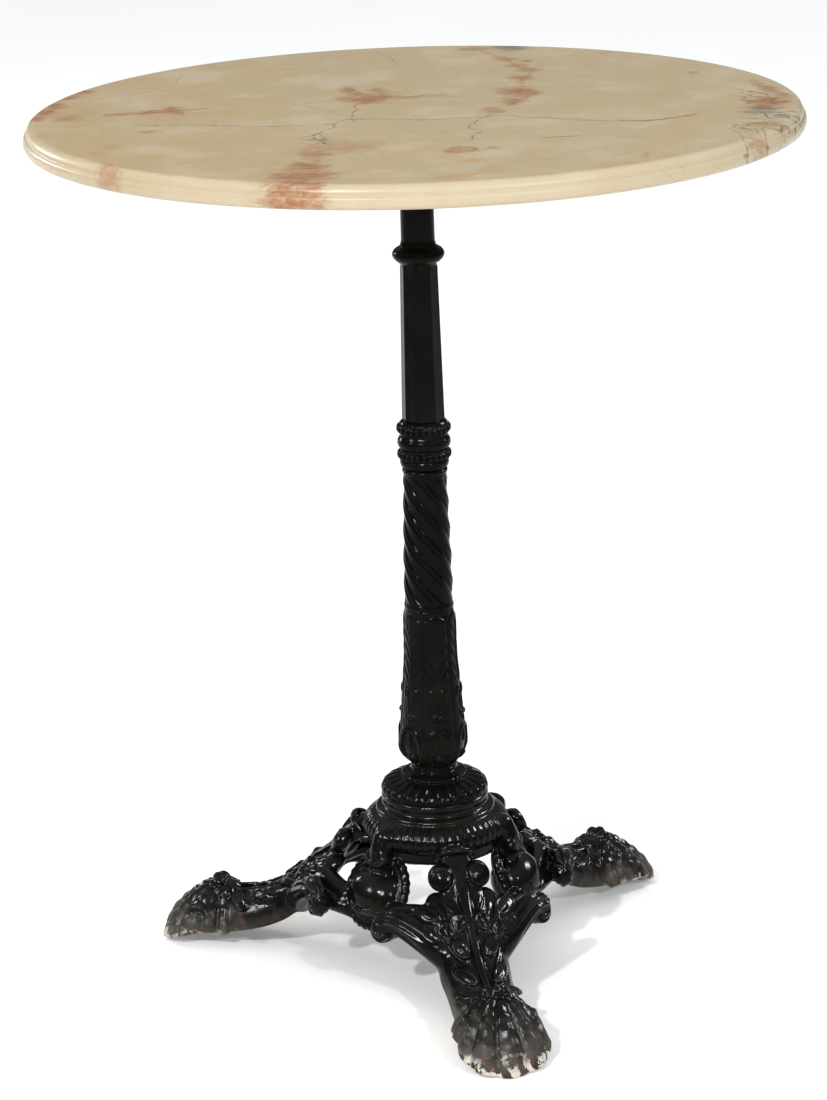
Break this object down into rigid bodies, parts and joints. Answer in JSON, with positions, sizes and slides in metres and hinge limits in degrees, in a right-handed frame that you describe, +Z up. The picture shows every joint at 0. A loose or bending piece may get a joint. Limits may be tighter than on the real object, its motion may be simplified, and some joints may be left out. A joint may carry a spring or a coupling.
{
  "type": "bistro table",
  "caption": "Round marble-topped pedestal table with a slender cast-iron column on an openwork scrolled tripod base.",
  "frame": {"origin": "on the floor, under the middle of the round top", "axes": "+Z up along the column, -Y along one of the three legs, +X to the right when that leg points at the viewer"},
  "size_m": [0.61, 0.61, 0.72],
  "materials": {
    "marble": "worn satin-polished cream marble with grey hairline veins and rust-red clouds",
    "black_iron": "aged glossy black enamel, worn brown on the high edges, with bare rusty feet",
    "fastener_steel": "dull oiled steel",
    "insert_brass": "plain turned brass",
    "pad_rubber": "matt black rubber"
  },
  "bodies": {
    "root": {"marble_top": "marble", "threaded_insert_1": "insert_brass", "threaded_insert_2": "insert_brass", "threaded_insert_3": "insert_brass", "threaded_insert_4": "insert_brass", "top_screw_1": "fastener_steel", "top_screw_2": "fastener_steel", "top_screw_3": "fastener_steel", "top_screw_4": "fastener_steel", "arm_pad_1": "pad_rubber", "arm_pad_2": "pad_rubber", "arm_pad_3": "pad_rubber", "arm_pad_4": "pad_rubber", "top_spider": "black_iron", "upper_nut": "fastener_steel", "upper_washer": "fastener_steel", "tie_rod": "fastener_steel", "upper_shaft": "black_iron", "beaded_collar": "black_iron", "spiral_shaft": "black_iron", "leaf_vase": "black_iron", "gadrooned_dome": "black_iron", "tripod_base": "black_iron", "lower_washer": "fastener_steel", "lower_nut": "fastener_steel"}
  },
  "joints": []
}
